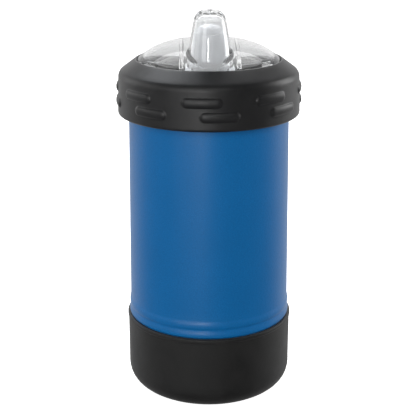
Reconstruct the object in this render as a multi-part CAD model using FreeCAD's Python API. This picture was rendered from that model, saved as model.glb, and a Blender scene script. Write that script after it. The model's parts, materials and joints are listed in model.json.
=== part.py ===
import FreeCAD, Part

import math
import os

from FreeCAD import Vector

# Insulated sippy cup: a double-walled steel cup in a silicone boot, closed by a clear spouted lid that a
# black threaded collar clamps onto the rim.
#
# Millimetres. The origin is on the floor at the middle of the boot's underside, +Z is up, and the spout
# stands towards -Y. Every lathe-turned outline is written as (radius, height) points.

# Driving dimensions of the cup
BODY_TOP_R = 33.7
BODY_LOW_R = 33.5
SHELL_T = 0.5
NECK_R = 33.0
NECK_FOOT_Z = 120.6
NECK_START_Z = 121.4
RIM_Z = 133.6
BORE_R = 30.5
LINER_T = 0.45
LINER_FLOOR_Z = 9.4
LINER_CORNER_R = 8.0
LIP_T = 0.5
LIP_BEND_R = 0.9

# Two bead rings rolled into the shell just above the boot: height, and how far it stands out there
BEAD_TOP_Z = 38.4
BEADS = (
    (37.3, 0.15),
    (36.2, 0.36),
    (35.4, 0.32),
    (34.4, 0.10),
    (33.4, 0.25),
    (32.2, 0.42),
    (31.5, 0.30),
)
BEAD_FOOT_Z = 31.0
BOOT_SEAT_R = 33.1
BOOT_SEAT_TOP_Z = 30.6

# Silicone boot
BOOT_R = 34.4
BOOT_RIM_R = 34.8
BOOT_RIM_Z = 30.9
BOOT_RIM_H = 1.7
BOOT_FLOOR_T = 2.4
BOOT_CORNER_R = 8.5
BOOT_GAP = 0.06
SOLE_RECESS_R = 20.0
SOLE_RECESS = 0.6
SOLE_GROOVES = (5.0, 9.0, 13.0, 17.0)

# Shell bottom, hidden inside the boot
SHELL_BOTTOM_Z = BOOT_FLOOR_T + BOOT_GAP
SHELL_CORNER_R = 5.0
TURN_IN_R = 27.0
BASE_Z = 5.2
DIMPLE_DEPTH = 0.9
EVACUATION_R = 0.8
COVER_T = 0.4

# Getter on the shell base
GETTER_X = 14.0
GETTER_R = 3.4
GETTER_H = 1.5
CLIP_T = 0.3
CLIP_TRAY_T = 0.35
CLIP_W = 3.0
CLIP_L = 12.0

# Screw thread between neck and collar
THREAD_LEAD = 5.0
THREAD_TURNS = 1.25
THREAD_START_Z = 124.6
THREAD_CREST_R = 34.15
THREAD_FOOT_W = 2.4
THREAD_CREST_W = 1.1
THREAD_BITE = 0.25
THREAD_STEPS = 40
THREAD_FADE_STEPS = 3
COLLAR_THREAD_R = 33.45
COLLAR_THREAD_DROP = 1.6

# Collar
COLLAR_R = 38.2
COLLAR_TOP_R = 37.95
COLLAR_FOOT_Z = 117.1
COLLAR_WALL_TOP_Z = 134.8
COLLAR_BORE_R = 34.7
COLLAR_BORE_FOOT_Z = 121.2
COLLAR_SKIRT_BORE_R = 35.6
COLLAR_EDGE_R = 0.6
COLLAR_SEAT_R = 33.38
COLLAR_SEAT_Z = 133.4
OPENING_R = 30.2
OPENING_Z = 140.5
SHOULDER_BLEND_R = 3.6
LIP_UNDER_Z = 138.6
LIP_RECESS_R = 31.7
GRIP_COUNT = 8
GRIP_STAGGER = 5.5
GRIP_LENGTH = 15.6
GRIP_HEIGHT = 3.6
GRIP_PROUD = 0.8
GRIP_UPPER_Z = 128.7
GRIP_LOWER_Z = 122.9

# Clear lid
FLANGE_R = 33.3
FLANGE_TOP_Z = 136.6
FLANGE_UNDER_Z = 135.0
LAND_R = 31.4
LAND_Z = 138.3
FLANGE_GAP = 0.05
DOME_FOOT_R = 30.0
DOME_EDGE_R = 29.2
DOME_TOP_Z = 148.1
DOME_DROP = 6.8
DOME_DROP_R = 28.4
DOME_POWER = 3.3
LID_T = 1.8
HOLLOW_EDGE_R = 26.8
PLUG_R = 29.9
PLUG_BORE_R = 28.1
PLUG_FOOT_Z = 131.6
RIB_INNER_X = 10.4
RIB_OUTER_X = 12.1
RIB_DEPTH = 2.0

# Gasket under the lid's flange
GASKET_EDGE_R = 32.4
GASKET_BULGE_R = 32.95
GASKET_GAP = 0.02

# Spout and its drinking holes
SPOUT_Y = -18.0
SPOUT_TOP_Z = 162.75
SPOUT_SHOULDER_R = 6.33
SPOUT_SHOULDER_Z = 159.2
SPOUT_FOOT_R = 8.8
SPOUT_FOOT_Z = 142.5
SPOUT_BULGE = 0.35
SPOUT_T = 0.8
SPOUT_CROWN_T = 1.6
SPOUT_ROOT_BLEND = 1.3
SOCKET_R = 9.2
SOCKET_FOOT_Z = 138.6
HOLE_R = 0.95
HOLE_SPACING = 3.9

# Air vent at the back of the lid
VENT_Y = 13.0
VENT_HOLE_R = 1.0
VENT_SOCKET_R = 5.0
VENT_BORE_R = 3.8

# One-piece silicone valve: a tall cup for the spout and a small one for the vent, on a common plate
VALVE_GAP = 0.06
VALVE_T = 1.0
VALVE_ROOF_T = 0.7
SEAT_GAP = 0.05
VALVE_SHOULDER_Z = 153.2
VALVE_TOP_Z = 157.2
PLATE_T = 1.2
PLATE_HALF_W = 9.9
PLATE_R = 27.4
PLATE_END_R = 6.4
PLATE_TAPER_Y = 1.0
SLIT_W = 0.25
SPOUT_SLIT_L = 4.4
VENT_SLIT_L = 3.0
SLIT_H = 4.0

AXIS = Vector(0, 0, 1)


def outline(*steps):
    """Closed face in the XZ plane. A pair is a straight step; two pairs are an arc through the first one."""
    start = steps[0]
    here = start
    edges = []
    for step in steps[1:] + (start,):
        if isinstance(step[0], tuple):
            through, end = step
            edges.append(Part.Arc(at(here), at(through), at(end)).toShape())
        elif len(step) > 2:
            end = (step[-2], step[-1])
            edges.append(curve_through(here, step))
        else:
            end = step
            if math.dist(here, end) < 1e-9:
                continue
            edges.append(Part.makeLine(at(here), at(end)))
        here = end
    return Part.Face(Part.Wire(edges))


def at(pair):
    return Vector(pair[0], 0, pair[1])


def curve_through(here, flat):
    """Smooth curve from here through the pairs that follow each other in flat."""
    points = [at(here)]
    for index in range(0, len(flat), 2):
        points.append(Vector(flat[index], 0, flat[index + 1]))
    curve = Part.BSplineCurve()
    curve.interpolate(points)
    return curve.toShape()


def lathe(*steps, y=0.0):
    """Solid turned about the vertical axis through (0, y)."""
    solid = outline(*steps).revolve(Vector(0, 0, 0), AXIS, 360)
    solid.translate(Vector(0, y, 0))
    return solid


def cylinder(radius, low, high, x=0.0, y=0.0):
    return Part.makeCylinder(radius, high - low, Vector(x, y, low), AXIS)


def save(shape, name):
    solids = shape.Solids
    whole = solids[0] if len(solids) == 1 else Part.makeCompound(solids)
    if not solids or not whole.isValid():
        raise ValueError(name + " is not a valid solid")
    whole.exportStep(os.path.join("parts", name + ".step"))


# Screw thread


def thread_section(angle, z, wall_r, crest_r, scale):
    """Four-sided section of the thread at one place along it, shrunk towards its foot by scale."""
    bite = math.copysign(THREAD_BITE, wall_r - crest_r)
    crest = wall_r + (crest_r - wall_r) * scale
    foot_half = THREAD_FOOT_W / 2 * (0.4 + 0.6 * scale)
    crest_half = THREAD_CREST_W / 2 * (0.4 + 0.6 * scale)
    corners = (
        (wall_r + bite, -foot_half),
        (crest, -crest_half),
        (crest, crest_half),
        (wall_r + bite, foot_half),
    )
    points = [
        Vector(radius * math.cos(angle), radius * math.sin(angle), z + rise)
        for radius, rise in corners
    ]
    return Part.makePolygon(points + [points[0]])


def thread(start_z, wall_r, crest_r):
    """Right-hand thread ridge that fades in and out at its ends."""
    sections = []
    for step in range(THREAD_STEPS + 1):
        share = step / THREAD_STEPS
        angle = 2 * math.pi * THREAD_TURNS * share
        to_end = min(step, THREAD_STEPS - step)
        scale = min(1.0, (to_end + 1) / (THREAD_FADE_STEPS + 1))
        z = start_z + THREAD_LEAD * THREAD_TURNS * share
        sections.append(thread_section(angle, z, wall_r, crest_r, scale))
    return Part.makeLoft(sections, True, False)


# Steel cup


def outer_shell():
    """Blue shell: straight tube with two rolled beads, a stepped-in neck and a turned-in bottom edge."""
    corner = SHELL_CORNER_R
    inner_corner = corner - SHELL_T
    bend = math.sin(math.pi / 4)
    corner_mid = BOOT_SEAT_R - corner + corner * bend
    inner_mid = BOOT_SEAT_R - corner + inner_corner * bend
    low = SHELL_BOTTOM_Z
    beads = []
    for z, proud in BEADS:
        beads += [BODY_LOW_R + proud, z]
    tube = lathe(
        (NECK_R, RIM_Z - LIP_T),
        (NECK_R, NECK_START_Z),
        (BODY_TOP_R, NECK_FOOT_Z),
        (BODY_LOW_R, BEAD_TOP_Z),
        tuple(beads + [BOOT_SEAT_R + 0.1, BEAD_FOOT_Z]),
        (BOOT_SEAT_R, BOOT_SEAT_TOP_Z),
        (BOOT_SEAT_R, low + corner),
        ((corner_mid, low + corner - corner * bend), (BOOT_SEAT_R - corner, low)),
        (TURN_IN_R, low),
        (TURN_IN_R, low + SHELL_T),
        (BOOT_SEAT_R - corner, low + SHELL_T),
        ((inner_mid, low + corner - inner_corner * bend), (BOOT_SEAT_R - SHELL_T, low + corner)),
        (BOOT_SEAT_R - SHELL_T, BOOT_SEAT_TOP_Z),
        (BODY_LOW_R - SHELL_T, BOOT_SEAT_TOP_Z + 1.0),
        (BODY_LOW_R - SHELL_T, BEAD_TOP_Z),
        (BODY_TOP_R - SHELL_T, NECK_FOOT_Z),
        (NECK_R - SHELL_T, NECK_START_Z),
        (NECK_R - SHELL_T, RIM_Z - LIP_T),
    )
    ridge = thread(THREAD_START_Z, NECK_R, THREAD_CREST_R)
    return tube.fuse(ridge).removeSplitter()


def inner_liner():
    """Drinking vessel with a rounded floor, turned out over the shell's neck to make the rim."""
    r_in, r_out = BORE_R, BORE_R + LINER_T
    corner = LINER_CORNER_R
    bend = math.sin(math.pi / 4)
    floor_z = LINER_FLOOR_Z + LINER_T
    lip = LIP_BEND_R
    return lathe(
        (0, floor_z),
        ((r_in / 2, floor_z - 0.05), (r_in - corner, floor_z)),
        ((r_in - corner + corner * bend, floor_z + corner - corner * bend), (r_in, floor_z + corner)),
        (r_in, RIM_Z - lip),
        ((r_in + lip * (1 - bend), RIM_Z - lip * (1 - bend)), (r_in + lip, RIM_Z)),
        (NECK_R - 0.4, RIM_Z),
        (NECK_R, RIM_Z - LIP_T),
        (r_out + 0.6, RIM_Z - LIP_T),
        ((r_out + 0.15, RIM_Z - LIP_T - 0.2), (r_out, RIM_Z - LIP_T - 0.7)),
        (r_out, LINER_FLOOR_Z + corner),
        ((r_out - corner + corner * bend, LINER_FLOOR_Z + corner - corner * bend),
         (r_out - corner, LINER_FLOOR_Z)),
        (0, LINER_FLOOR_Z),
    )


def shell_base():
    """Dished steel disc welded inside the turned-in edge, with a dimple and its evacuation hole."""
    rim_r = TURN_IN_R + 1.0
    low = SHELL_BOTTOM_Z + SHELL_T
    dimple = BASE_Z - DIMPLE_DEPTH
    return lathe(
        (EVACUATION_R, dimple),
        (2.6, dimple),
        (4.2, BASE_Z),
        (rim_r - 3.4, BASE_Z),
        (rim_r - 2.0, low),
        (rim_r, low),
        (rim_r, low + SHELL_T),
        (rim_r - 1.7, low + SHELL_T),
        (rim_r - 3.1, BASE_Z + SHELL_T),
        (4.0, BASE_Z + SHELL_T),
        (2.4, dimple + SHELL_T),
        (EVACUATION_R, dimple + SHELL_T),
    )


def vacuum_seal():
    """Bead of sealing glass that closes the evacuation hole in the dimple."""
    dimple = BASE_Z - DIMPLE_DEPTH
    return lathe(
        (0, dimple - 0.7),
        ((1.2, dimple - 0.45), (1.9, dimple)),
        (EVACUATION_R, dimple),
        (EVACUATION_R, dimple + 0.3),
        (0, dimple + 0.3),
    )


def base_cover():
    """Thin steel disc that closes the recess under the shell base."""
    low = SHELL_BOTTOM_Z + 0.02
    return lathe((0, low), (TURN_IN_R - 0.1, low), (TURN_IN_R - 0.1, low + COVER_T), (0, low + COVER_T))


def getter_pellet():
    """Getter tablet that keeps the vacuum between the walls."""
    low = BASE_Z + SHELL_T + CLIP_TRAY_T
    return cylinder(GETTER_R, low, low + GETTER_H, x=GETTER_X)


def getter_clip():
    """Spot-welded steel saddle that holds the getter tablet down on the shell base."""
    low = BASE_Z + SHELL_T
    top = low + CLIP_TRAY_T + GETTER_H
    half_w = CLIP_W / 2
    leg_x = GETTER_R + 0.2
    tray = Part.makeBox(CLIP_L, CLIP_W, CLIP_TRAY_T, Vector(GETTER_X - CLIP_L / 2, -half_w, low))
    bridge_l = 2 * (leg_x + CLIP_T)
    bridge = Part.makeBox(bridge_l, CLIP_W, CLIP_T, Vector(GETTER_X - bridge_l / 2, -half_w, top))
    legs = [
        Part.makeBox(CLIP_T, CLIP_W, top - low, Vector(GETTER_X + x, -half_w, low))
        for x in (-leg_x - CLIP_T, leg_x)
    ]
    return tray.multiFuse([bridge] + legs).removeSplitter()


# Silicone boot


def base_boot():
    """Soft boot with a rolled rim, a large bottom radius and a grooved sole."""
    bend = math.sin(math.pi / 4)
    corner = BOOT_CORNER_R
    inner_r = BOOT_SEAT_R + BOOT_GAP
    inner_corner = SHELL_CORNER_R
    rim_foot = BOOT_RIM_Z - BOOT_RIM_H
    boot = lathe(
        (0, SOLE_RECESS),
        (SOLE_RECESS_R, SOLE_RECESS),
        ((SOLE_RECESS_R + 0.4, SOLE_RECESS / 4), (SOLE_RECESS_R + 0.8, 0)),
        (BOOT_R - corner, 0),
        ((BOOT_R - corner + corner * bend, corner - corner * bend), (BOOT_R, corner)),
        (BOOT_R, rim_foot),
        ((BOOT_RIM_R - 0.05, rim_foot + 0.15), (BOOT_RIM_R, rim_foot + 0.4)),
        (BOOT_RIM_R, BOOT_RIM_Z - 0.6),
        ((BOOT_RIM_R - 0.18, BOOT_RIM_Z - 0.18), (BOOT_RIM_R - 0.6, BOOT_RIM_Z)),
        (inner_r + 0.35, BOOT_RIM_Z),
        ((inner_r + 0.08, BOOT_RIM_Z - 0.15), (inner_r, BOOT_RIM_Z - 0.5)),
        (inner_r, BOOT_FLOOR_T + inner_corner),
        ((inner_r - inner_corner + inner_corner * bend,
          BOOT_FLOOR_T + inner_corner - inner_corner * bend),
         (inner_r - inner_corner, BOOT_FLOOR_T)),
        (0, BOOT_FLOOR_T),
    )
    for middle in SOLE_GROOVES:
        groove = lathe((middle - 0.7, SOLE_RECESS - 0.1), (middle - 0.45, SOLE_RECESS + 0.45),
                       (middle + 0.45, SOLE_RECESS + 0.45), (middle + 0.7, SOLE_RECESS - 0.1))
        boot = boot.cut(groove)
    return boot


# Threaded collar


def collar_blank():
    """Ring with a tall grip wall, a sloping shoulder and an inward lip over the lid's flange."""
    slope = math.atan2(OPENING_Z - COLLAR_WALL_TOP_Z, COLLAR_TOP_R - OPENING_R)
    reach = SHOULDER_BLEND_R * math.tan((math.pi / 2 - slope) / 2)
    wall_end = COLLAR_WALL_TOP_Z - reach
    cone_start = (COLLAR_TOP_R - reach * math.cos(slope), COLLAR_WALL_TOP_Z + reach * math.sin(slope))
    turn = (math.pi / 2 - slope) / 2
    middle = (
        COLLAR_TOP_R - SHOULDER_BLEND_R * (1 - math.cos(turn)),
        wall_end + SHOULDER_BLEND_R * math.sin(turn),
    )
    edge = COLLAR_EDGE_R
    foot = COLLAR_FOOT_Z
    return lathe(
        (COLLAR_SKIRT_BORE_R + 0.3, foot),
        (COLLAR_R - edge, foot),
        ((COLLAR_R - 0.3 * edge, foot + 0.3 * edge), (COLLAR_R, foot + edge)),
        (COLLAR_TOP_R, wall_end),
        (middle, cone_start),
        (OPENING_R + 0.7, OPENING_Z - 0.4),
        ((OPENING_R + 0.2, OPENING_Z - 0.5), (OPENING_R, OPENING_Z - 0.95)),
        (OPENING_R, LIP_UNDER_Z),
        (LIP_RECESS_R, LIP_UNDER_Z),
        (LIP_RECESS_R, FLANGE_TOP_Z + FLANGE_GAP),
        (COLLAR_SEAT_R, FLANGE_TOP_Z + FLANGE_GAP),
        (COLLAR_SEAT_R, COLLAR_SEAT_Z),
        (COLLAR_BORE_R, COLLAR_SEAT_Z - 1.2),
        (COLLAR_BORE_R, COLLAR_BORE_FOOT_Z),
        (COLLAR_SKIRT_BORE_R, COLLAR_BORE_FOOT_Z - 1.0),
        (COLLAR_SKIRT_BORE_R, foot + 0.3),
    )


def grip_bar(angle, z):
    """Half-round bar with round ends that follows the collar wall."""
    half = GRIP_HEIGHT / 2
    pipe_r = (half**2 + GRIP_PROUD**2) / (2 * GRIP_PROUD)
    share = (z - COLLAR_FOOT_Z) / (COLLAR_WALL_TOP_Z - COLLAR_FOOT_Z)
    wall_r = COLLAR_R + (COLLAR_TOP_R - COLLAR_R) * share
    path_r = wall_r + GRIP_PROUD - pipe_r
    sweep = math.degrees((GRIP_LENGTH - GRIP_HEIGHT) / COLLAR_R)
    bar = Part.makeTorus(path_r, pipe_r, Vector(0, 0, 0), AXIS, -180, 180, sweep)
    bar.rotate(Vector(0, 0, 0), AXIS, -sweep / 2)
    for side in (-1, 1):
        end = Part.makeSphere(pipe_r, Vector(path_r, 0, 0))
        end.rotate(Vector(0, 0, 0), AXIS, side * sweep / 2)
        bar = bar.fuse(end)
    keep = cylinder(wall_r + 3, -half - 2, half + 2).cut(cylinder(wall_r - 1.2, -half - 3, half + 3))
    bar = bar.common(keep)
    bar.rotate(Vector(0, 0, 0), AXIS, angle - 90)
    bar.translate(Vector(0, 0, z))
    return bar


def collar_ring():
    ring = collar_blank()
    bars = []
    for index in range(GRIP_COUNT):
        turn = index * 360 / GRIP_COUNT
        bars.append(grip_bar(turn - GRIP_STAGGER, GRIP_UPPER_Z))
        bars.append(grip_bar(turn + GRIP_STAGGER, GRIP_LOWER_Z))
    ring = ring.fuse(bars)
    ridge = thread(THREAD_START_Z - COLLAR_THREAD_DROP, COLLAR_BORE_R, COLLAR_THREAD_R)
    return ring.fuse(ridge).removeSplitter()


# Clear lid


def dome_height(radius):
    """Height of the lid's outer face: flat in the middle and rounder towards its edge."""
    return DOME_TOP_Z - DOME_DROP * (radius / DOME_DROP_R) ** DOME_POWER


def dome_body(foot_z):
    """Solid under the dome's outer face, down to foot_z."""
    flat = []
    for radius in (9.0, 15.0, 20.0, 25.0, DOME_EDGE_R):
        flat += [radius, dome_height(radius)]
    edge_z = flat[-1]
    return lathe(
        (0, foot_z),
        (0, DOME_TOP_Z),
        tuple(flat),
        ((DOME_FOOT_R - 0.22, edge_z - 0.75), (DOME_FOOT_R, edge_z - 1.7)),
        (DOME_FOOT_R, foot_z),
    )


def dome_hollow():
    """Space under the dome, a lid's thickness inside its outer face."""
    flat = []
    for radius in (9.0, 15.0, 20.0, 24.0, HOLLOW_EDGE_R):
        flat += [radius, dome_height(radius) - LID_T]
    edge_z = flat[-1]
    return lathe(
        (0, PLUG_FOOT_Z - 1),
        (0, DOME_TOP_Z - LID_T),
        tuple(flat),
        ((PLUG_BORE_R - 0.3, edge_z - 1.1), (PLUG_BORE_R, edge_z - 2.6)),
        (PLUG_BORE_R, PLUG_FOOT_Z - 1),
    )


def spout_radius(z):
    """Outer radius of the spout: a cone that bulges slightly."""
    share = (z - SPOUT_FOOT_Z) / (SPOUT_SHOULDER_Z - SPOUT_FOOT_Z)
    straight = SPOUT_FOOT_R + (SPOUT_SHOULDER_R - SPOUT_FOOT_R) * share
    return straight + 4 * SPOUT_BULGE * share * (1 - share)


def spout_side(inset, low, high):
    """Arc step up the spout's side, a wall inset inwards."""
    middle = (low + high) / 2
    return ((spout_radius(middle) - inset, middle), (spout_radius(high) - inset, high))


def spout_body(foot_z):
    """Outside of the spout: the bulged cone with a rounded crown."""
    return lathe(
        (0, foot_z),
        (spout_radius(foot_z), foot_z),
        spout_side(0, foot_z, SPOUT_SHOULDER_Z),
        ((5.45, SPOUT_TOP_Z - 1.75), (3.6, SPOUT_TOP_Z - 0.5)),
        ((1.8, SPOUT_TOP_Z - 0.13), (0, SPOUT_TOP_Z)),
        y=SPOUT_Y,
    )


def spout_bore(foot_z):
    """Inside of the spout, open at foot_z."""
    shoulder = SPOUT_SHOULDER_Z - 0.7
    roof = SPOUT_TOP_Z - SPOUT_CROWN_T
    return lathe(
        (0, foot_z),
        (spout_radius(foot_z) - SPOUT_T, foot_z),
        spout_side(SPOUT_T, foot_z, shoulder),
        ((4.6, roof - 1.1), (3.0, roof - 0.35)),
        ((1.5, roof - 0.08), (0, roof)),
        y=SPOUT_Y,
    )


def rib(side):
    """Rib that hangs under the dome on one side of the spout, from the front wall to the back one."""
    low_x = min(side * RIB_INNER_X, side * RIB_OUTER_X)
    corner = Vector(low_x, -DOME_FOOT_R, FLANGE_TOP_Z)
    slab = Part.makeBox(RIB_OUTER_X - RIB_INNER_X, 2 * DOME_FOOT_R, DOME_TOP_Z - FLANGE_TOP_Z, corner)
    below = dome_hollow()
    below.translate(Vector(0, 0, -RIB_DEPTH))
    return slab.cut(below)


def dome_lid():
    """Clear lid: dome, spout, flange, locating plug, valve sockets and two ribs in one moulding."""
    outside = dome_body(FLANGE_UNDER_Z).fuse(spout_body(FLANGE_UNDER_Z + 2.0))
    outside = blend_spout_root(outside)
    flange = cylinder(FLANGE_R, FLANGE_UNDER_Z, FLANGE_TOP_Z)
    land = cylinder(LAND_R, FLANGE_UNDER_Z, LAND_Z)
    plug = cylinder(PLUG_R, PLUG_FOOT_Z, FLANGE_TOP_Z)
    outside = outside.fuse([flange, land, plug])
    spout_socket = cylinder(SOCKET_R, SOCKET_FOOT_Z, DOME_TOP_Z, y=SPOUT_Y)
    vent_socket = cylinder(VENT_SOCKET_R, SOCKET_FOOT_Z, DOME_TOP_Z, y=VENT_Y)
    void = dome_hollow().cut([spout_socket, vent_socket, rib(-1), rib(1)])
    vent_top = dome_height(VENT_Y) - LID_T
    openings = [
        spout_bore(SOCKET_FOOT_Z - 1),
        cylinder(VENT_BORE_R, SOCKET_FOOT_Z - 1, vent_top, y=VENT_Y),
        cylinder(VENT_HOLE_R, vent_top - 1, DOME_TOP_Z + 1, y=VENT_Y),
    ]
    for step in (-1, 0, 1):
        low = SPOUT_SHOULDER_Z - 3
        openings.append(cylinder(HOLE_R, low, SPOUT_TOP_Z + 1, x=step * HOLE_SPACING, y=SPOUT_Y))
    return outside.cut([void] + openings).removeSplitter()


def blend_spout_root(outside):
    """Rounds the crease where the spout meets the dome."""
    reach = SPOUT_FOOT_R + 0.5
    crease = [
        edge
        for edge in outside.Edges
        if abs(edge.BoundBox.Center.y - SPOUT_Y) < 1.5 * reach
        and edge.BoundBox.YMin > SPOUT_Y - reach
        and edge.BoundBox.YMax < SPOUT_Y + reach
        and edge.BoundBox.ZMax < DOME_TOP_Z
        and edge.Length > 1.0
    ]
    return outside.makeFillet(SPOUT_ROOT_BLEND, crease)


def valve_plate(low):
    """Flat plate under both sockets: it fills the space between the ribs and tapers to a round end."""
    front = Part.makeBox(2 * PLATE_HALF_W, 40, PLATE_T, Vector(-PLATE_HALF_W, PLATE_TAPER_Y - 40, low))
    front = front.common(cylinder(PLATE_R, low, low + PLATE_T))
    corners = (
        (-PLATE_HALF_W, PLATE_TAPER_Y),
        (PLATE_HALF_W, PLATE_TAPER_Y),
        (PLATE_END_R, VENT_Y),
        (-PLATE_END_R, VENT_Y),
    )
    points = [Vector(x, y, low) for x, y in corners]
    taper = Part.Face(Part.makePolygon(points + [points[0]])).extrude(Vector(0, 0, PLATE_T))
    end = cylinder(PLATE_END_R, low, low + PLATE_T, y=VENT_Y)
    return front.fuse([taper, end])


def spout_cup(plate_top):
    """Tall cup that nests in the spout, with a low dome on top."""
    gap = SPOUT_T + VALVE_GAP
    top_r = spout_radius(VALVE_SHOULDER_Z) - gap
    inner_top = VALVE_SHOULDER_Z - 0.8
    bore_r = spout_radius(plate_top) - gap - VALVE_T
    return lathe(
        (bore_r, plate_top - 0.5),
        (spout_radius(plate_top) - gap, plate_top - 0.5),
        (spout_radius(plate_top) - gap, plate_top),
        spout_side(gap, plate_top, VALVE_SHOULDER_Z),
        ((top_r - 0.15, VALVE_SHOULDER_Z + 0.35), (top_r - 0.5, VALVE_SHOULDER_Z + 0.5)),
        ((top_r * 0.55, VALVE_TOP_Z - 0.9), (0, VALVE_TOP_Z)),
        (0, VALVE_TOP_Z - VALVE_ROOF_T),
        ((top_r * 0.5, VALVE_TOP_Z - 1.8), (top_r - VALVE_T, inner_top)),
        spout_side(gap + VALVE_T, inner_top, plate_top),
        y=SPOUT_Y,
    )


def vent_roof():
    """Height of the vent cup's flat roof, a little under the lid's wall."""
    return dome_height(VENT_Y) - LID_T - 0.6


def vent_cup(plate_top):
    """Small cup with a flat roof that nests in the vent socket."""
    roof = vent_roof()
    r = VENT_BORE_R - VALVE_GAP
    return lathe(
        (r - VALVE_T, plate_top - 0.5),
        (r, plate_top - 0.5),
        (r, roof - 0.7),
        ((r - 0.2, roof - 0.2), (r - 0.7, roof)),
        (0, roof),
        (0, roof - VALVE_ROOF_T),
        (r - VALVE_T, roof - VALVE_ROOF_T),
        y=VENT_Y,
    )


def spout_valve():
    """Silicone valve: both cups on their plate, a cross slit in the tall one and a slit in the small one."""
    plate_top = SOCKET_FOOT_Z - SEAT_GAP
    low = plate_top - PLATE_T
    spout_bore_r = spout_radius(plate_top) - SPOUT_T - VALVE_GAP - VALVE_T
    plate = valve_plate(low).cut([
        cylinder(spout_bore_r, low - 1, plate_top + 1, y=SPOUT_Y),
        cylinder(VENT_BORE_R - VALVE_GAP - VALVE_T, low - 1, plate_top + 1, y=VENT_Y),
    ])
    valve = plate.fuse([spout_cup(plate_top), vent_cup(plate_top)])
    slit_foot = VALVE_TOP_Z - 2.4
    half_w = SLIT_W / 2
    half_l = SPOUT_SLIT_L / 2
    vent_foot = vent_roof() - 1.4
    slits = [
        Part.makeBox(SLIT_W, SPOUT_SLIT_L, SLIT_H, Vector(-half_w, SPOUT_Y - half_l, slit_foot)),
        Part.makeBox(SPOUT_SLIT_L, SLIT_W, SLIT_H, Vector(-half_l, SPOUT_Y - half_w, slit_foot)),
        Part.makeBox(VENT_SLIT_L, SLIT_W, SLIT_H, Vector(-VENT_SLIT_L / 2, VENT_Y - half_w, vent_foot)),
    ]
    return valve.cut(slits).removeSplitter()


def lid_gasket():
    """Silicone seal on the plug, pressed between the flange and the cup's rim, with a bulged edge."""
    inner = PLUG_R + 0.04
    low = RIM_Z + GASKET_GAP
    high = FLANGE_UNDER_Z - GASKET_GAP
    return lathe(
        (inner, low),
        (GASKET_EDGE_R, low),
        ((GASKET_BULGE_R, (low + high) / 2), (GASKET_EDGE_R, high)),
        (inner, high),
    )


def main():
    os.makedirs("parts", exist_ok=True)
    for build in (
        outer_shell,
        inner_liner,
        shell_base,
        vacuum_seal,
        base_cover,
        getter_pellet,
        getter_clip,
        base_boot,
        collar_ring,
        dome_lid,
        spout_valve,
        lid_gasket,
    ):
        save(build(), build.__name__)


main()
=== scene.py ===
import itertools
import json
import math

import bpy
import numpy as np
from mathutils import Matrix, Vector

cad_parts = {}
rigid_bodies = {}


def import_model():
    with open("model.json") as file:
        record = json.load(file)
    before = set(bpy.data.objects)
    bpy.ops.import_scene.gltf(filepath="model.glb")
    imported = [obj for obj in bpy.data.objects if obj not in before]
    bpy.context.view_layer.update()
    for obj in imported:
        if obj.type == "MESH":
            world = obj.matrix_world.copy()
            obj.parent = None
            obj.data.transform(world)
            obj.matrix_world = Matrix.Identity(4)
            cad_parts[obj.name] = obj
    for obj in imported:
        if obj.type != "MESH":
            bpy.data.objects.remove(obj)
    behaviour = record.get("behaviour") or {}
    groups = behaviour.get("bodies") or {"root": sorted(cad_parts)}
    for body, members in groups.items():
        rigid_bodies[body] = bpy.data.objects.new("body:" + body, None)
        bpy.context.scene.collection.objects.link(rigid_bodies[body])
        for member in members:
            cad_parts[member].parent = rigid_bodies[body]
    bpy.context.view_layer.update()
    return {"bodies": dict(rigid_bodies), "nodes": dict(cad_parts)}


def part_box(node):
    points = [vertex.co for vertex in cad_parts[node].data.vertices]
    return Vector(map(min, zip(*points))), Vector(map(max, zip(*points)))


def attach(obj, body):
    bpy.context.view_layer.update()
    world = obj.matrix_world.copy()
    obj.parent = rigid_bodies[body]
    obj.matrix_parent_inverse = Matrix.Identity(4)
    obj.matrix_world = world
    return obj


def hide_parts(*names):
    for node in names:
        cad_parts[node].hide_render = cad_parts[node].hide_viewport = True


# Looks of an insulated sippy cup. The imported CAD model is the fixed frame, and the pieces that show are
# rebuilt here as finer meshes. Lengths are in millimetres and turn into metres where a mesh is made.
# Outlines are (radius, height) points, and a third number in a corner is the radius that rounds it.

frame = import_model()
nodes = frame["nodes"]

MM = 0.001
TAU = 2 * math.pi

# Degrees that one facet of a rounded corner spans, on large corners and on small ones
FACET = 9
SMALL_FACET = 22
SMALL_CORNER = 0.5

# Radii this close count as the same wall when a relief is laid on it, and a cutter runs on by this much
SAME_WALL = 0.05
OVERCUT = 1.0


def span(node):
    """Lowest and highest corner of a CAD node, in millimetres."""
    low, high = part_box(node)
    return np.array(low) / MM, np.array(high) / MM


shell_low, shell_high = span("outer_shell")
liner_low, liner_high = span("inner_liner")
boot_high = span("base_boot")[1]
collar_low = span("collar_ring")[0]
lid_low, lid_high = span("dome_lid")
valve_low, valve_high = span("spout_valve")
gasket_low, gasket_high = span("lid_gasket")

# Cup
RIM_Z = liner_high[2]
NECK_TOP_Z = shell_high[2]
NECK_R = 33.0
NECK_FOOT_Z = 120.6
NECK_START_Z = 121.4
BODY_TOP_R = 33.7
BODY_LOW_R = 33.5
BOOT_SEAT_R = 33.1
BOOT_SEAT_TOP_Z = 30.7
SEAT_STEP_IN_Z = (31.0, 31.6)
SHELL_T = 0.5
SHELL_FOOT_CORNER = 5.0
TURN_IN_R = 27.0
LINER_BORE_R = 30.5
LINER_T = 0.45
LINER_CORNER_IN = 8.0
LINER_CORNER_OUT = 8.4
RIM_FOLD = 0.5

# Beads on the lower body: height, and how far the surface stands out there
BEADS = ((38.5, 0.0), (36.2, 0.36), (35.5, 0.36), (34.4, 0.1), (32.3, 0.42), (31.6, 0.4), (31.1, 0.1))
BEAD_STEPS = 6

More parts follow.
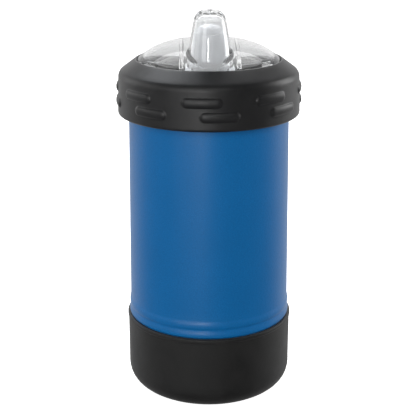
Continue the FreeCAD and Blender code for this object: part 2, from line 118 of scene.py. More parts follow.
# Screw thread, as in the CAD. Its ridges run at one lead for so many turns and fade in and out over a part
# of a turn. Foot and crest are half widths, and each wall has its own start and depth of ridge.
THREAD_LEAD = 5.0
THREAD_TURNS = 1.25
THREAD_FADE = 0.09
THREAD_FOOT = 1.2
THREAD_CREST = 0.55
NECK_THREAD_Z = 124.6
NECK_THREAD_DEPTH = 1.15
COLLAR_THREAD_Z = 123.0
COLLAR_THREAD_DEPTH = 1.25

# Collar, from its foot up the outside, over the shoulder, and down its opening, seat and threaded bore
COLLAR_R = 38.2
COLLAR_TOP_R = 37.95
COLLAR_FOOT_Z = collar_low[2]
COLLAR_FOOT_R = 35.9
COLLAR_CORNER_Z = 134.8
OPENING_R = 30.2
OPENING_Z = 140.6
OPENING_UNDER_Z = 138.6
OPENING_STEP_R = 31.7
COLLAR_SEAT_R = 33.38
COLLAR_SEAT_FOOT_Z = 133.4
COLLAR_BORE_R = 34.7
COLLAR_BORE_Z = (121.2, 132.2)
COLLAR_MOUTH_R = 35.6
COLLAR_MOUTH_Z = 120.2
COLLAR_GAP = 0.05

# Grip bars: two rows, and a cross-section that stands out by (1 - offset ** ROUND) ** FLANK
GRIP_COUNT = 8
GRIP_UPPER_Z = 128.7
GRIP_LOWER_Z = 123.1
GRIP_STAGGER = math.radians(5.5)
GRIP_PROUD = 0.8
GRIP_HALF_LENGTH = 7.95
GRIP_HALF_HEIGHT = 1.95
GRIP_ROUND = 2.2
GRIP_FLANK = 0.6

# Clear lid
FLANGE_R = lid_high[0]
FLANGE_TOP_Z = 136.6
FLANGE_UNDER_Z = 135.0
LAND_R = 31.4
LAND_Z = 138.3
DOME_TOP_Z = 148.1
DOME_DROP = 6.8
DOME_REACH = 28.4
DOME_POWER = 3.3
DOME_FOOT_R = 30.0
DOME_EDGE_R = 29.2
LID_T = 1.8
PLUG_R = 29.9
PLUG_BORE_R = 28.1
PLUG_FOOT_Z = lid_low[2]
HOLLOW_EDGE_R = 26.6
RIB_X = (10.4, 12.1)
RIB_DEPTH = 2.0
RIB_BEVEL = 0.35
GASKET_R = 32.9
GASKET_GAP = 0.04

# Spout and vent
SPOUT_Y = -18.0
SPOUT_TOP_Z = lid_high[2] + 0.04
SHOULDER_R = 6.33
SHOULDER_Z = 159.2
SPOUT_FOOT_R = 8.8
SPOUT_FOOT_Z = 142.5
SPOUT_BULGE = 0.35
SPOUT_T = 0.8
CROWN_T = 1.6
ROOT_BLEND = 0.5
SOCKET_R = 9.2
SOCKET_FOOT_Z = 138.6
HOLE_R = 0.95
HOLE_SPACING = 3.9
VENT_Y = 13.0
VENT_HOLE_R = 1.0
VENT_SOCKET_R = 5.0
VENT_BORE_R = 3.8

# Points on the arcs of the spout's crown and of its bore's roof: radius, and drop below the middle.
# The crown's side goes through a (radius, height) point.
CROWN_ARC = ((1.8, 0.13), (3.6, 0.5))
CROWN_SIDE = (5.45, 161.0)
ROOF_ARC = ((1.5, 0.08), (3.0, 0.35))
ROOF_SIDE = (4.6, 1.1)

# Valve
VALVE_GAP = 0.06
VALVE_T = 1.0
VALVE_SHOULDER_Z = 153.2
VALVE_TOP_Z = valve_high[2]
PLATE_LOW_Z = valve_low[2]
PLATE_TOP_Z = SOCKET_FOOT_Z - 0.05
PLATE_HALF_W = valve_high[0]
PLATE_R = 27.4
PLATE_END_R = 6.4
PLATE_TAPER_Y = 1.0
PLATE_OVERLAP = 0.3
VALVE_ROOF_T = 0.7
VENT_CUP_GAP = 0.6
SLIT_W = 0.25
SLIT_HALF_LENGTH = 2.2
VENT_SLIT_HALF_LENGTH = 1.5

# Boot
BOOT_R = 34.3
BOOT_BELLY_Z = 14.0
BOOT_WALL_TOP_R = 34.55
BOOT_WALL_TOP_Z = 29.2
BOOT_RIM_R = boot_high[0]
BOOT_RIM_Z = boot_high[2]
BOOT_RIM_FOOT_Z = 29.5
BOOT_FLOOR_T = 2.4
BOOT_CORNER_R = 8.5
BOOT_BORE_R = 33.16
SOLE_RECESS = 0.6
SOLE_RING_R = (20.0, 20.9)

# Grooves in the sole
GROOVES = 4
GROOVE_FIRST_R = 5.0
GROOVE_PITCH = 4.0
GROOVE_DEPTH = 0.45
GROOVE_HALF_TOP = 0.75
GROOVE_HALF_FLOOR = 0.45

# Camera, fitted to the photograph's ellipses. It backs off and rises by the room given (Y and Z) as the
# lid or the boot goes through its travel.
CAMERA_DISTANCE = 454.46
CAMERA_HEIGHT = 218.41
CAMERA_PITCH = math.radians(8.294)
CAMERA_TURN = math.radians(-1.3)
LENS = 95.27
LENS_SHIFT_X = -0.0021
LENS_SHIFT_Y = -0.4294
LID_TRAVEL = 20
LID_ROOM = (-48, 26)
BOOT_TRAVEL = -35
BOOT_ROOM = (-86, 10)

# Studio
LIGHT_AIM_Z = 80.0
FLOOR_HALF = 4000

# White backdrop and floor: strength in reflections and the directions between which it comes up, and the
# strength that the camera sees
BACKDROP_GLOW = 0.9
BACKDROP_RAMP = (0.5, 0.95)
BACKDROP_SEEN = 1.0
FLOOR_GLOW = 0.63
FLOOR_RAMP = (0.1, -0.85)
FLOOR_SEEN = 0.95


# Outlines


def unit(vector):
    return vector / np.linalg.norm(vector)


def rounded(*corners, closed=False):
    """Line through the corners, each rounded by its third number."""
    points = []
    for index, corner in enumerate(corners):
        here = np.array(corner[:2], float)
        open_end = not closed and index in (0, len(corners) - 1)
        if len(corner) < 3 or open_end:
            points.append(here)
            continue
        back = unit(np.array(corners[index - 1][:2]) - here)
        ahead = unit(np.array(corners[(index + 1) % len(corners)][:2]) - here)
        angle = math.acos(np.clip(back @ ahead, -1, 1))
        radius = corner[2]
        centre = here + unit(back + ahead) * radius / math.sin(angle / 2)
        start = here + back * radius / math.tan(angle / 2) - centre
        end = here + ahead * radius / math.tan(angle / 2) - centre
        turn = math.pi - angle
        facet = FACET if radius > SMALL_CORNER else SMALL_FACET
        steps = max(3, math.ceil(math.degrees(turn) / facet))
        for step in range(steps + 1):
            share = step / steps
            arm = math.sin((1 - share) * turn) * start + math.sin(share * turn) * end
            points.append(centre + arm / math.sin(turn))
    return np.array(points)


def arc_through(start, through, end, count):
    """Points on the circle through three points, without the first."""
    a, b, c = (np.array(point, float) for point in (start, through, end))
    sides = np.array([b - a, c - a])
    centre = np.linalg.solve(2 * sides, np.array([b @ b - a @ a, c @ c - a @ a]))
    arm = a - centre
    first = math.atan2(arm[1], arm[0])
    middle = (math.atan2(*(b - centre)[::-1]) - first) % TAU
    last = (math.atan2(*(c - centre)[::-1]) - first) % TAU
    sweep = last if middle < last else last - TAU
    angles = first + sweep * np.linspace(0, 1, count + 1)[1:]
    return centre + np.linalg.norm(arm) * np.stack([np.cos(angles), np.sin(angles)], 1)


def densified(points, step, closed=False):
    """The same line with no run longer than step."""
    ends = np.roll(points, -1, axis=0) if closed else points[1:]
    made = []
    for start, end in zip(points, ends):
        count = max(1, math.ceil(np.linalg.norm(end - start) / step))
        made.append(start + (end - start) * np.linspace(0, 1, count, endpoint=False)[:, None])
    if not closed:
        made.append(points[-1:])
    return np.concatenate(made)


def finer(points, low_r, high_r, step):
    """The same closed line with shorter runs where both ends of a run lie between two radii."""
    made = []
    for start, end in zip(points, np.roll(points, -1, axis=0)):
        inside = low_r <= min(start[0], end[0]) and max(start[0], end[0]) <= high_r
        count = max(1, math.ceil(np.linalg.norm(end - start) / step)) if inside else 1
        made.append(start + (end - start) * np.linspace(0, 1, count, endpoint=False)[:, None])
    return np.concatenate(made)


def eased(share):
    """Smooth step from 0 to 1."""
    return share * share * (3 - 2 * share)


# Meshes


def new_object(name, vertices, faces):
    mesh = bpy.data.meshes.new(name)
    mesh.from_pydata([tuple(point) for point in np.asarray(vertices) * MM], [], faces)
    mesh.update()
    mesh.shade_smooth()
    made = bpy.data.objects.new(name, mesh)
    bpy.context.scene.collection.objects.link(made)
    return made


def surface(name, rings, loop=False):
    """Closed mesh through rings of points. A ring whose points coincide turns into a pole."""
    vertices, index = [], []
    for ring in rings:
        pole = np.ptp(ring, axis=0).max() < 1e-6
        index.append(np.full(len(ring), len(vertices)) if pole else len(vertices) + np.arange(len(ring)))
        vertices.extend(ring[:1] if pole else ring)
    following = index[1:] + index[:1] if loop else index[1:]
    quads = np.concatenate([
        np.stack([low, np.roll(low, -1), np.roll(high, -1), high], 1)
        for low, high in zip(index, following)
    ])
    vertices = np.array(vertices)
    a, b, c, d = (vertices[quads[:, corner]] for corner in range(4))
    if (a * (np.cross(b, c) + np.cross(c, d))).sum() < 0:
        quads = quads[:, ::-1]
    faces = [tuple(dict.fromkeys(quad)) for quad in quads.tolist()]
    return new_object(name, vertices, [face for face in faces if len(face) > 2])


def turned(name, outline, segments, centre=(0, 0), relief=None):
    """Mesh turned about a vertical axis; relief(angle, radius, height) is added to the radius.

    An outline that starts on the axis also ends there, and any other outline is a closed loop."""
    angle = np.linspace(0, TAU, segments, endpoint=False)[None, :]
    radius, height = outline[:, :1], outline[:, 1:]
    if relief:
        radius = radius + relief(angle, radius, height)
    rings = np.stack([
        centre[0] + radius * np.cos(angle),
        centre[1] + radius * np.sin(angle),
        height + 0 * angle,
    ], -1)
    return surface(name, rings, loop=outline[0][0] > 1e-6)


def slab(name, outline, low, high, bevel):
    """Flat plate with rounded edges over a closed (x, y) outline that runs anticlockwise."""
    ahead = np.roll(outline, -1, axis=0) - np.roll(outline, 1, axis=0)
    inward = np.stack([-ahead[:, 1], ahead[:, 0]], 1)
    inward /= np.linalg.norm(inward, axis=1)[:, None]
    middle = np.broadcast_to(outline.mean(0), outline.shape)
    rings = []
    turns = np.linspace(0, TAU / 4, 5)
    steps = [(bevel * (1 - math.sin(turn)), low + bevel * (1 - math.cos(turn))) for turn in turns]
    steps += [(inset, low + high - height) for inset, height in reversed(steps)]
    sides = [(outline + inward * inset, height) for inset, height in steps]
    for ring, height in [(middle, low), *sides, (middle, high)]:
        rings.append(np.column_stack([ring, np.full(len(ring), height)]))
    return surface(name, rings)


def combined(target, others, operation):
    """Target joined with or cut by the other meshes, which are used up."""
    for other in others:
        change = target.modifiers.new("solid", "BOOLEAN")
        change.operation = operation
        change.solver = "MANIFOLD"
        change.object = other
    view = bpy.context.evaluated_depsgraph_get()
    mesh = bpy.data.meshes.new_from_object(target.evaluated_get(view))
    mesh.name = target.name
    target.modifiers.clear()
    target.data = mesh
    for other in others:
        bpy.data.objects.remove(other)
    return target


def crisp(piece, degrees=34):
    """Keeps edges sharp where the faces turn by more than the angle."""
    piece.data.shade_smooth()
    piece.data.set_sharp_from_angle(angle=math.radians(degrees))
    return piece


def place(piece, body, slot, look, node):
    """Puts the material on, and makes the piece stand for a CAD node of that body."""
    piece.data.materials.clear()
    piece.data.materials.append(look)
    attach(piece, body)
    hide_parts(node)
    return piece


# Materials


class Look:
    """A Principled material, with short ways to feed its inputs."""

    def __init__(self, name, **inputs):
        self.made = bpy.data.materials.new(name)
        self.made.use_nodes = True
        self.tree = self.made.node_tree
        self.shader = self.tree.nodes["Principled BSDF"]
        self.place = self.node("ShaderNodeTexCoord").outputs["Object"]
        for key, value in inputs.items():
            self.shader.inputs[key.replace("_", " ")].default_value = value

    def node(self, kind, **settings):
        made = self.tree.nodes.new(kind)
        for key, value in settings.items():
            setattr(made, key, value)
        return made

    def wire(self, source, target):
        self.tree.links.new(source, target)

    def feed(self, source, name):
        self.wire(source, self.shader.inputs[name])

    def scaled(self, scale):
        """Object coordinates in metres times a scale for each axis."""
        made = self.node("ShaderNodeVectorMath", operation="MULTIPLY")
        self.wire(self.place, made.inputs[0])
        made.inputs[1].default_value = scale
        return made.outputs["Vector"]

    def noise(self, size, detail=3.0, rough=0.5, place=None):
        """Noise whose blotches are about size millimetres wide."""
        made = self.node("ShaderNodeTexNoise")
        self.wire(place or self.place, made.inputs["Vector"])
        made.inputs["Scale"].default_value = 1 / (size * MM)
        made.inputs["Detail"].default_value = detail
        made.inputs["Roughness"].default_value = rough
        return made.outputs["Fac"]

    def mapped(self, source, low, high, start=0.3, end=0.7):
        """A number that goes from low to high as the source goes from start to end."""
        made = self.node("ShaderNodeMapRange")
        self.wire(source, made.inputs["Value"])
        for key, value in (("From Min", start), ("From Max", end), ("To Min", low), ("To Max", high)):
            made.inputs[key].default_value = value
        return made.outputs["Result"]

    def blend(self, share, first, second):
        """Colour between two colours, each a value or another node's output."""
        made = self.node("ShaderNodeMix", data_type="RGBA")
        self.wire(share, made.inputs[0])
        for socket, colour in ((made.inputs[6], first), (made.inputs[7], second)):
            if isinstance(colour, tuple):
                socket.default_value = (*colour, 1)
            else:
                self.wire(colour, socket)
        return made.outputs[2]

    def bump(self, *layers):
        """Surface relief from (height, depth in millimetres) layers."""
        normal = None
        for height, depth in layers:
            made = self.node("ShaderNodeBump")
            made.inputs["Distance"].default_value = depth * MM
            self.wire(height, made.inputs["Height"])
            if normal:
                self.wire(normal, made.inputs["Normal"])
            normal = made.outputs["Normal"]
        self.feed(normal, "Normal")

    def turning_marks(self):
        """Coordinates in which lines run round the cup's axis, for lathe and brush marks."""
        flat = self.node("ShaderNodeVectorMath", operation="LENGTH")
        self.wire(self.scaled((1, 1, 0)), flat.inputs[0])
        split = self.node("ShaderNodeSeparateXYZ")
        self.wire(self.place, split.inputs[0])
        joined = self.node("ShaderNodeCombineXYZ")
        along = self.node("ShaderNodeMath", operation="MULTIPLY")
        self.wire(split.outputs["X"], along.inputs[0])
        along.inputs[1].default_value = 0.02
        self.wire(flat.outputs["Value"], joined.inputs["X"])
        self.wire(along.outputs[0], joined.inputs["Y"])
        self.wire(split.outputs["Z"], joined.inputs["Z"])
        return joined.outputs[0]

    def let_light_through(self, tint):
        """Shadow rays pass, so that what lies behind clear plastic is lit."""
        path = self.node("ShaderNodeLightPath")
        clear = self.node("ShaderNodeBsdfTransparent")
        clear.inputs["Color"].default_value = (*tint, 1)
        mixed = self.node("ShaderNodeMixShader")
        self.wire(path.outputs["Is Shadow Ray"], mixed.inputs[0])
        self.wire(self.shader.outputs[0], mixed.inputs[1])
        self.wire(clear.outputs[0], mixed.inputs[2])
        self.wire(mixed.outputs[0], self.tree.nodes["Material Output"].inputs["Surface"])


def powder_blue():
    """Blue powder coat with a fine orange peel, and bare steel above the neck's foot."""
    look = Look("powder_coat", Specular_IOR_Level=0.5)
    peel = look.noise(0.9, 2)
    grain = look.noise(0.35, 2)
    tone = look.blend(look.mapped(look.noise(14, 3), 0, 1), (0.002, 0.182, 0.52), (0.003, 0.197, 0.56))
    speck = look.blend(look.mapped(grain, 0, 1, 0.35, 0.65), tone, (0.002, 0.162, 0.47))
    split = look.node("ShaderNodeSeparateXYZ")
    look.wire(look.place, split.inputs[0])
    bare = look.mapped(split.outputs["Z"], 0, 1, (NECK_FOOT_Z + 0.3) * MM, (NECK_FOOT_Z + 0.7) * MM)
    look.feed(look.blend(bare, speck, (0.6, 0.59, 0.57)), "Base Color")
    look.feed(bare, "Metallic")
    look.feed(look.mapped(peel, 0.34, 0.4), "Roughness")
    look.bump((peel, 0.05), (grain, 0.02))
    return look.made


def brushed_steel(name, roughness=0.24):
    """Steel with fine lines that run round the axis."""
    look = Look(name, Metallic=1.0)
    marks = look.turning_marks()
    line = look.noise(0.18, 4, 0.6, marks)
    band = look.noise(6, 2, 0.5, marks)
    look.feed(look.blend(look.mapped(line, 0, 1), (0.52, 0.52, 0.515), (0.68, 0.675, 0.66)), "Base Color")
    look.feed(look.mapped(band, roughness - 0.04, roughness + 0.08), "Roughness")
    look.bump((line, 0.004))
    return look.made


def collar_plastic():
    """Black moulded plastic with a fine spark-eroded grain, slightly polished by handling."""
    look = Look("collar_plastic", Specular_IOR_Level=0.5)
    grain = look.noise(0.3, 3)
    wear = look.noise(9, 4)
    look.feed(look.blend(look.mapped(wear, 0, 1), (0.017, 0.017, 0.018), (0.022, 0.022, 0.023)), "Base Color")
    look.feed(look.mapped(wear, 0.38, 0.44), "Roughness")
    look.bump((grain, 0.03))
    return look.made


def black_silicone():
    """Matte black silicone with a faint bloom and lint-fine grain."""
    look = Look("black_silicone", Specular_IOR_Level=0.62, Sheen_Weight=0.1, Sheen_Roughness=0.5)
    grain = look.noise(0.45, 3)
    bloom = look.noise(7, 5, 0.6)
    tone = look.blend(look.mapped(bloom, 0, 1), (0.006, 0.006, 0.0062), (0.013, 0.0128, 0.0125))
    look.feed(tone, "Base Color")
    look.feed(look.mapped(bloom, 0.56, 0.7), "Roughness")
    look.bump((grain, 0.03), (bloom, 0.05))
    return look.made


def clear_plastic():
    """Clear glossy plastic with slight moulding ripple and a faint haze."""
    look = Look("clear_plastic", IOR=1.5, Transmission_Weight=0.97, Base_Color=(0.95, 0.955, 0.96, 1))
    look.feed(look.mapped(look.noise(5, 3), 0.0, 0.03), "Roughness")
    look.bump((look.noise(7, 1), 0.015))
    look.let_light_through((0.9, 0.91, 0.92))
    return look.made


def milky_silicone():
    """Translucent silicone that scatters light."""
    look = Look("milky_silicone", IOR=1.41, Transmission_Weight=0.75, Specular_IOR_Level=0.4)
    cloud = look.noise(4, 4)
    look.feed(look.blend(look.mapped(cloud, 0, 1), (0.8, 0.803, 0.808), (0.87, 0.873, 0.878)), "Base Color")
    look.feed(look.mapped(cloud, 0.3, 0.42), "Roughness")
    look.bump((look.noise(0.5, 2), 0.01))
    look.let_light_through((0.56, 0.565, 0.57))
    return look.made


def fused_glass():
    """Bead of sealing glass."""
    look = Look("fused_glass", IOR=1.55, Coat_Weight=0.5)
    swirl = look.noise(0.8, 3)
    look.feed(look.blend(look.mapped(swirl, 0, 1), (0.32, 0.27, 0.18), (0.45, 0.4, 0.3)), "Base Color")
    look.feed(look.mapped(swirl, 0.08, 0.2), "Roughness")
    return look.made


def getter_metal():
    """Pressed metal powder."""
    look = Look("getter_powder", Metallic=0.7)
    grain = look.noise(0.25, 4)
    look.feed(look.blend(look.mapped(grain, 0, 1), (0.16, 0.155, 0.15), (0.3, 0.29, 0.28)), "Base Color")
    look.feed(look.mapped(grain, 0.5, 0.75), "Roughness")
    look.bump((grain, 0.03))
    return look.made


# Steel cup


def thread_relief(angle, height, start_z, depth):
    """Height of a thread ridge above its wall: flat on top, with sloping flanks and faded ends."""
    total = 0
    for turn in (0, 1):
        run = angle / TAU + turn
        centre = start_z + THREAD_LEAD * run
        off = np.abs(height - centre)
        flank = np.clip((THREAD_FOOT - off) / (THREAD_FOOT - THREAD_CREST), 0, 1)
        ends = np.clip(np.minimum(run, THREAD_TURNS - run) / THREAD_FADE, 0, 1)
        total = np.maximum(total, eased(flank) * ends)
    return depth * total


def steel_shell():
    """Outer shell with its neck, thread, beads and turned-in foot."""
    low = shell_low[2]
    step_low, step_high = SEAT_STEP_IN_Z
    inner = rounded(
        (BOOT_SEAT_R - SHELL_T, step_low),
        (BOOT_SEAT_R - SHELL_T, low + SHELL_T, SHELL_FOOT_CORNER - SHELL_T),
        (TURN_IN_R, low + SHELL_T),
    )[::-1]
    beads = []
    for (top, before), (bottom, after) in zip(BEADS, BEADS[1:]):
        for share in np.arange(BEAD_STEPS) / BEAD_STEPS:
            out = before + (after - before) * eased(share)
            beads.append((BODY_LOW_R + out, top + (bottom - top) * share))
    outer = rounded(
        (NECK_R - SHELL_T, NECK_TOP_Z),
        (NECK_R, NECK_TOP_Z, 0.2),
        (NECK_R, NECK_START_Z, 0.4),
        (BODY_TOP_R, NECK_FOOT_Z, 0.5),
        (BODY_LOW_R, BEADS[0][0]),
    )
    foot = rounded(
        (BODY_LOW_R + BEADS[-1][1], BEADS[-1][0]),
        (BOOT_SEAT_R, BOOT_SEAT_TOP_Z, 0.2),
        (BOOT_SEAT_R, low, SHELL_FOOT_CORNER),
        (TURN_IN_R, low),
    )
    inside = rounded(
        (BOOT_SEAT_R - SHELL_T, step_low),
        (BODY_LOW_R - SHELL_T, step_high),
        (BODY_TOP_R - SHELL_T, NECK_FOOT_Z, 0.5),
        (NECK_R - SHELL_T, NECK_START_Z, 0.4),
        (NECK_R - SHELL_T, NECK_TOP_Z),
    )
    outline = np.concatenate([outer[:-1], np.array(beads), foot, inner, inside[1:-1]])
    rough = densified(outline, step=3.0, closed=True)
    walls = finer(rough, NECK_R - SAME_WALL, NECK_R + SAME_WALL, step=0.25)

    def relief(angle, radius, height):
        on_neck = (radius > NECK_R - 2 * SAME_WALL) & (height > NECK_START_Z + 0.3)
        return thread_relief(angle, height, NECK_THREAD_Z, NECK_THREAD_DEPTH) * on_neck

    return turned("steel_shell", walls, segments=336, relief=relief)


def steel_liner():
    """Vessel with its rim turned out over the neck."""
    bore, outer = LINER_BORE_R, LINER_BORE_R + LINER_T
    base, fold = liner_low[2], RIM_Z - RIM_FOLD
    outline = rounded(
        (0, base + LINER_T),
        (bore, base + LINER_T, LINER_CORNER_IN),
        (bore, RIM_Z, 1.0),
        (NECK_R, RIM_Z, 0.25),
        (NECK_R, fold, 0.1),
        (outer, fold, 0.6),
        (outer, base, LINER_CORNER_OUT),
        (0, base),
    )
    return turned("steel_liner", densified(outline, step=3.0), segments=256)


# Soft parts


def boot():
    """Boot with a slightly flared wall, a raised rim and grooves in the sole."""
    sole, depth = SOLE_RECESS, SOLE_RECESS + GROOVE_DEPTH
    grooves = []
    for ring in range(GROOVES):
        middle = GROOVE_FIRST_R + GROOVE_PITCH * ring
        grooves += [
            (middle - GROOVE_HALF_TOP, sole, 0.2),
            (middle - GROOVE_HALF_FLOOR, depth, 0.15),
            (middle + GROOVE_HALF_FLOOR, depth, 0.15),
            (middle + GROOVE_HALF_TOP, sole, 0.2),
        ]
    outline = rounded(
        (0, sole),
        *grooves,
        (SOLE_RING_R[0], sole, 0.3),
        (SOLE_RING_R[1], 0, 0.3),
        (BOOT_R - 0.1, 0, BOOT_CORNER_R),
        (BOOT_R, BOOT_BELLY_Z, 20.0),
        (BOOT_WALL_TOP_R, BOOT_WALL_TOP_Z, 0.3),
        (BOOT_RIM_R, BOOT_RIM_FOOT_Z, 0.25),
        (BOOT_RIM_R, BOOT_RIM_Z, 0.5),
        (BOOT_BORE_R + 0.1, BOOT_RIM_Z, 0.4),
        (BOOT_BORE_R, BOOT_RIM_Z - 1.2),
        (BOOT_BORE_R, BOOT_FLOOR_T, SHELL_FOOT_CORNER),
        (0, BOOT_FLOOR_T),
    )
    return turned("soft_boot", densified(outline, step=2.0), segments=288)


def gasket():
    """Seal with a flat middle and a rounded lip that bulges outwards."""
    low, high = gasket_low[2], gasket_high[2]
    inner = PLUG_R + GASKET_GAP
    outline = rounded(
        (inner, low, 0.15), (GASKET_R, low, 0.65), (GASKET_R, high, 0.65), (inner, high, 0.15),
        closed=True,
    )
    return turned("rim_gasket", densified(outline, step=0.6, closed=True), segments=256)


def spout_radius(height):
    """Outer radius of the spout: a cone that bulges slightly."""
    share = (height - SPOUT_FOOT_Z) / (SHOULDER_Z - SPOUT_FOOT_Z)
    return SPOUT_FOOT_R + (SHOULDER_R - SPOUT_FOOT_R) * share + 4 * SPOUT_BULGE * share * (1 - share)


def spout_wall(inset, low, high, count):
    """(radius, height) points up the spout's side, moved inwards by inset."""
    heights = np.linspace(low, high, count)
    return np.stack([spout_radius(heights) - inset, heights], 1)


def dome_height(radius):
    """Height of the dome's outer face at a distance from the lid's axis."""
    return DOME_TOP_Z - DOME_DROP * (radius / DOME_REACH) ** DOME_POWER


def dome_slope(radius):
    """How fast the dome falls away at a distance from the lid's axis."""
    return DOME_DROP * DOME_POWER * (radius / DOME_REACH) ** (DOME_POWER - 1) / DOME_REACH


def plate_outline():
    """Outline of the valve's plate: a round front, straight sides and a tapered round end."""
    side_angle = math.asin(PLATE_HALF_W / PLATE_R)
    front = np.linspace(-side_angle, side_angle, 60)
    lean = math.atan2(PLATE_HALF_W - PLATE_END_R, VENT_Y - PLATE_TAPER_Y)
    end = np.linspace(lean, math.pi - lean, 40)
    points = np.concatenate([
        np.stack([PLATE_R * np.sin(front), -PLATE_R * np.cos(front)], 1),
        [(PLATE_HALF_W, PLATE_TAPER_Y)],
        np.stack([PLATE_END_R * np.cos(end), VENT_Y + PLATE_END_R * np.sin(end)], 1),
        [(-PLATE_HALF_W, PLATE_TAPER_Y)],
    ])
    return densified(points, step=0.8, closed=True)


def block(name, low, high):
    """Box between two corners, for cutting slits."""
    corners = itertools.product(*zip(low, high))
    faces = [(0, 1, 3, 2), (4, 6, 7, 5), (0, 4, 5, 1), (2, 3, 7, 6), (0, 2, 6, 4), (1, 5, 7, 3)]
    return new_object(name, list(corners), faces)


def slit(name, middle, length, low, high):
    """Cutter for a slit; length is its half size in x and in y."""
    (x, y), (along, across) = middle, length
    return block(name, (x - along, y - across, low), (x + along, y + across, high))


def valve():
    """Silicone valve: a slit cup in the spout and a small one in the vent, on one plate."""
    gap = SPOUT_T + VALVE_GAP
    foot, mouth = PLATE_LOW_Z + PLATE_OVERLAP, PLATE_LOW_Z - OVERCUT
    top, shoulder_z = VALVE_TOP_Z, VALVE_SHOULDER_Z
    shoulder_r = spout_radius(shoulder_z) - gap
    spout, back = (0, SPOUT_Y), (0, VENT_Y)

    # Cup in the spout
    wall = spout_wall(gap, foot, shoulder_z, count=30)
    edge = arc_through((shoulder_r, shoulder_z), (shoulder_r - 0.15, shoulder_z + 0.35),
                       (shoulder_r - 0.5, shoulder_z + 0.5), count=5)
    roof = arc_through(edge[-1], (shoulder_r * 0.55, top - 0.9), (0, top), count=16)
    cup = np.concatenate([[(0, foot)], wall, edge, roof])
    bore_wall = spout_wall(gap + VALVE_T, mouth, shoulder_z - 0.8, count=30)
    bore_roof = arc_through(bore_wall[-1], (shoulder_r * 0.5, top - 1.8), (0, top - VALVE_ROOF_T), count=16)
    bore = np.concatenate([[(0, mouth)], bore_wall, bore_roof])

    # Cup in the vent
    vent_roof = dome_height(VENT_Y) - LID_T - VENT_CUP_GAP
    vent_ceiling = vent_roof - VALVE_ROOF_T
    vent_r = VENT_BORE_R - VALVE_GAP
    vent = rounded((0, foot), (vent_r, foot), (vent_r, vent_roof, 0.6), (0, vent_roof))
    vent_bore = rounded((0, mouth), (vent_r - VALVE_T, mouth), (vent_r - VALVE_T, vent_ceiling, 0.4),
                        (0, vent_ceiling))

    plate = slab("soft_valve", plate_outline(), PLATE_LOW_Z, PLATE_TOP_Z, bevel=0.25)
    cups = [turned("cup", cup, 128, spout), turned("vent", vent, 96, back)]
    combined(plate, cups, "UNION")
    half, long = SLIT_W / 2, SLIT_HALF_LENGTH
    cuts = [
        turned("cup_bore", bore, 128, spout),
        turned("vent_bore", vent_bore, 96, back),
        slit("slit", spout, (half, long), top - 2.4, top + OVERCUT),
        slit("cross_slit", spout, (long, half), top - 2.4, top + OVERCUT),
        slit("vent_slit", back, (VENT_SLIT_HALF_LENGTH, half), vent_ceiling - 0.7, vent_roof + OVERCUT),
    ]
    return crisp(combined(plate, cuts, "DIFFERENCE"))


# Collar


def grip_relief(angle, height):
    """Half-round bars in two staggered rows."""
    total = 0
    for row_z, stagger in ((GRIP_UPPER_Z, -GRIP_STAGGER), (GRIP_LOWER_Z, GRIP_STAGGER)):
        pitch = TAU / GRIP_COUNT
        turn = (angle + TAU / 4 - stagger + pitch / 2) % pitch - pitch / 2
        along = np.maximum(np.abs(turn) * COLLAR_R - (GRIP_HALF_LENGTH - GRIP_HALF_HEIGHT), 0)
        off = np.hypot(along, height - row_z) / GRIP_HALF_HEIGHT
        total = np.maximum(total, np.clip(1 - off**GRIP_ROUND, 0, 1) ** GRIP_FLANK)
    return GRIP_PROUD * total


def collar():
    """Ring with a sloping shoulder, grip bars outside and the thread inside."""
    bore_foot_z, bore_top_z = COLLAR_BORE_Z
    seat_top_z = FLANGE_TOP_Z + COLLAR_GAP
    outer = rounded(
        (COLLAR_FOOT_R, COLLAR_FOOT_Z, 0.25),
        (COLLAR_R, COLLAR_FOOT_Z, 1.2),
        (COLLAR_TOP_R, COLLAR_CORNER_Z, 3.8),
        (OPENING_R, OPENING_Z, 0.55),
        (OPENING_R, OPENING_UNDER_Z, 0.15),
        (OPENING_STEP_R, OPENING_UNDER_Z, 0.1),
        (OPENING_STEP_R, seat_top_z, 0.1),
        (COLLAR_SEAT_R, seat_top_z, 0.2),
        (COLLAR_SEAT_R, COLLAR_SEAT_FOOT_Z, 0.2),
        (COLLAR_BORE_R, bore_top_z, 0.2),
        (COLLAR_BORE_R, bore_foot_z, 0.2),
        (COLLAR_MOUTH_R, COLLAR_MOUTH_Z, 0.2),
        (COLLAR_MOUTH_R, COLLAR_FOOT_Z + 0.3, 0.1),
        closed=True,
    )
    rough = densified(outer, step=2.0, closed=True)
    gripped = finer(rough, COLLAR_TOP_R - 0.1, COLLAR_R + 1, step=0.3)
    outline = finer(gripped, COLLAR_BORE_R - SAME_WALL, COLLAR_BORE_R + SAME_WALL, step=0.6)

    def relief(angle, radius, height):
        below_shoulder = (height > COLLAR_FOOT_Z + 1) & (height < COLLAR_CORNER_Z - 2)
        wall = (radius > COLLAR_TOP_R - SAME_WALL) & below_shoulder
        bore = np.abs(radius - COLLAR_BORE_R) < SAME_WALL
        thread = thread_relief(angle, height, COLLAR_THREAD_Z, COLLAR_THREAD_DEPTH)
        return grip_relief(angle, height) * wall - thread * bore

    return turned("grip_collar", outline, segments=592, relief=relief)


# Clear lid


def fillet(start, corner, end, count):
    """Rings that round the corner between two (distance, height) rings, without the ends."""
    rings = []
    for share in np.linspace(0, 1, count + 2)[1:-1]:
        weights = ((1 - share) ** 2, 2 * share * (1 - share), share**2)
        rings.append(tuple(
            sum(weight * ring[part] for weight, ring in zip(weights, (start, corner, end)))
            for part in (0, 1)
        ))
    return rings


